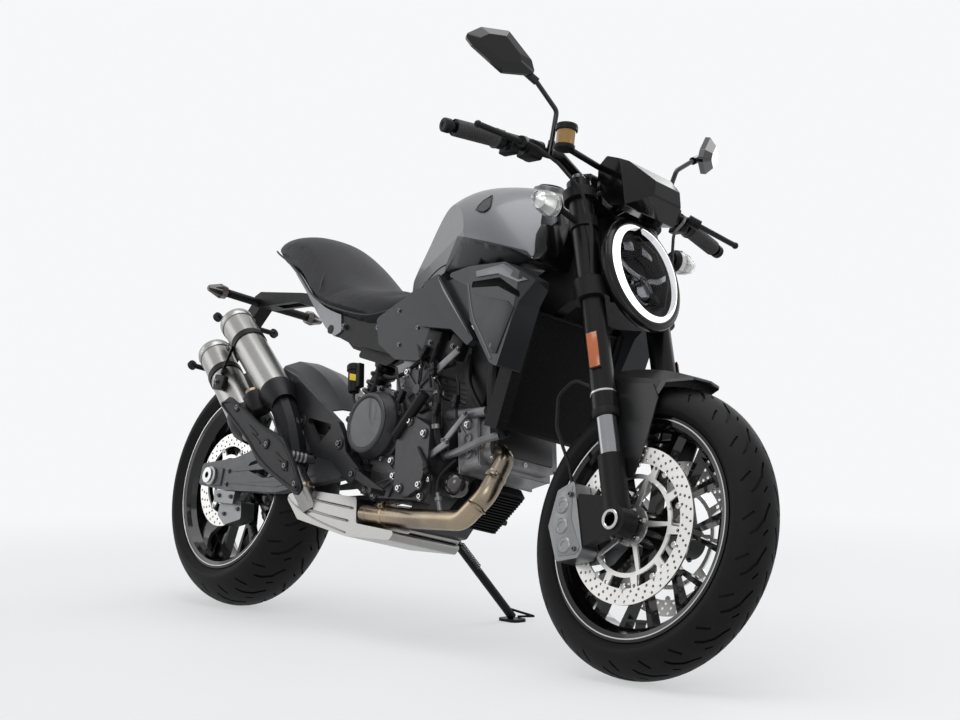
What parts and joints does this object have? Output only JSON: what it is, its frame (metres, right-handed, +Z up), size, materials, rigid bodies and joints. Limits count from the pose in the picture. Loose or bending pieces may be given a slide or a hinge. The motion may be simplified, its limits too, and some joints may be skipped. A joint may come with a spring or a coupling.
{
  "type": "standard motorcycle",
  "caption": "Naked standard motorcycle with a V-twin engine, round headlight and stacked silencers, leaning on its side stand.",
  "frame": {"origin": "centre of the machine's overall box, on the floor", "axes": "+X towards the front wheel, +Y to the rider's left (the side it leans to), +Z up"},
  "size_m": [2.1064, 0.8892, 1.3447],
  "materials": {
    "black_plastic": "textured",
    "brushed_steel": "brushed",
    "caliper_alloy": "machined",
    "cast_black": "satin",
    "chain_steel": "oiled",
    "clear_lens": "clear",
    "disc_steel": "ground",
    "engine_alloy": "raw cast",
    "engine_magnesium": "satin cast",
    "exhaust_steel": "heat tinted",
    "gloss_black_plastic": "gloss",
    "gloss_black_wheel": "gloss",
    "grey_casting": "satin",
    "grey_plastic": "fine textured",
    "hard_chrome": "polished",
    "radiator_black": "matt",
    "rubber_hose": "dull",
    "satin_black_panel": "satin",
    "satin_black_tube": "satin anodised",
    "seat_leather": "matt grained",
    "sprocket_steel": "satin",
    "tank_grey": "satin",
    "tyre_rubber": "dull"
  },
  "bodies": {
    "front_wheel": {"front_brake_discs": "disc_steel", "front_tyre": "tyre_rubber", "front_wheel": "gloss_black_wheel"},
    "rear_wheel": {"rear_brake_disc": "disc_steel", "rear_sprocket": "sprocket_steel", "rear_tyre": "tyre_rubber", "rear_wheel": "gloss_black_wheel"},
    "steering": {"brake_hoses": "rubber_hose", "fork_clamps": "cast_black", "fork_feet_and_axle": "cast_black", "fork_inner_tubes": "hard_chrome", "fork_outer_tubes": "satin_black_tube", "front_brake_calipers": "caliper_alloy", "front_indicators": "clear_lens", "front_mudguard": "satin_black_panel", "hand_controls": "black_plastic", "handlebar": "satin_black_tube", "headlight": "black_plastic", "instrument_panel": "gloss_black_plastic", "mirrors": "black_plastic"},
    "fuel_cap": {"fuel_cap": "cast_black"},
    "side_stand": {"side_stand": "cast_black"},
    "chassis": {"drive_chain": "chain_steel", "engine_crankcase": "engine_magnesium", "engine_cylinders": "engine_alloy", "engine_side_covers": "engine_magnesium", "exhaust_collector": "brushed_steel", "exhaust_headers": "exhaust_steel", "footrest_hangers": "grey_casting", "front_frame": "cast_black", "fuel_tank": "tank_grey", "heat_shield": "grey_plastic", "oil_cooler": "radiator_black", "plate_holder": "black_plastic", "radiator": "radiator_black", "rear_brake_caliper": "caliper_alloy", "rear_mudguard": "grey_plastic", "rear_shock": "satin_black_tube", "rear_subframe": "satin_black_panel", "seat": "seat_leather", "silencers": "brushed_steel", "sprocket_cover": "black_plastic", "swingarm": "grey_casting", "tail_cowl": "tank_grey", "tank_side_panels": "tank_grey"}
  },
  "joints": [
    {"name": "steering", "type": "hinge", "parent": "chassis", "child": "steering", "pos_m": [0.72331, -0.18044, 0.282], "axis": [-0.3875, 0.2147, 0.8965], "range_deg": [-33.6, 26.4]},
    {"name": "front_wheel_spin", "type": "hinge", "parent": "steering", "child": "front_wheel", "pos_m": [0.75367, -0.17545, 0.29393], "axis": [-0.0579, 0.9649, -0.2561], "continuous": true},
    {"name": "rear_wheel_spin", "type": "hinge", "parent": "chassis", "child": "rear_wheel", "pos_m": [-0.73827, -0.17396, 0.30903], "axis": [0, 0.9725, -0.2329], "continuous": true},
    {"name": "side_stand_fold", "type": "hinge", "parent": "chassis", "child": "side_stand", "pos_m": [-0.08227, -0.02771, 0.21127], "axis": [-0.0471, 0.7912, 0.6098], "range_deg": [0, 93.38]},
    {"name": "fuel_cap_hinge", "type": "hinge", "parent": "chassis", "child": "fuel_cap", "pos_m": [0.28273, -0.00159, 1.02867], "axis": [0, 0.9725, -0.2329], "range_deg": [0, 85]}
  ]
}
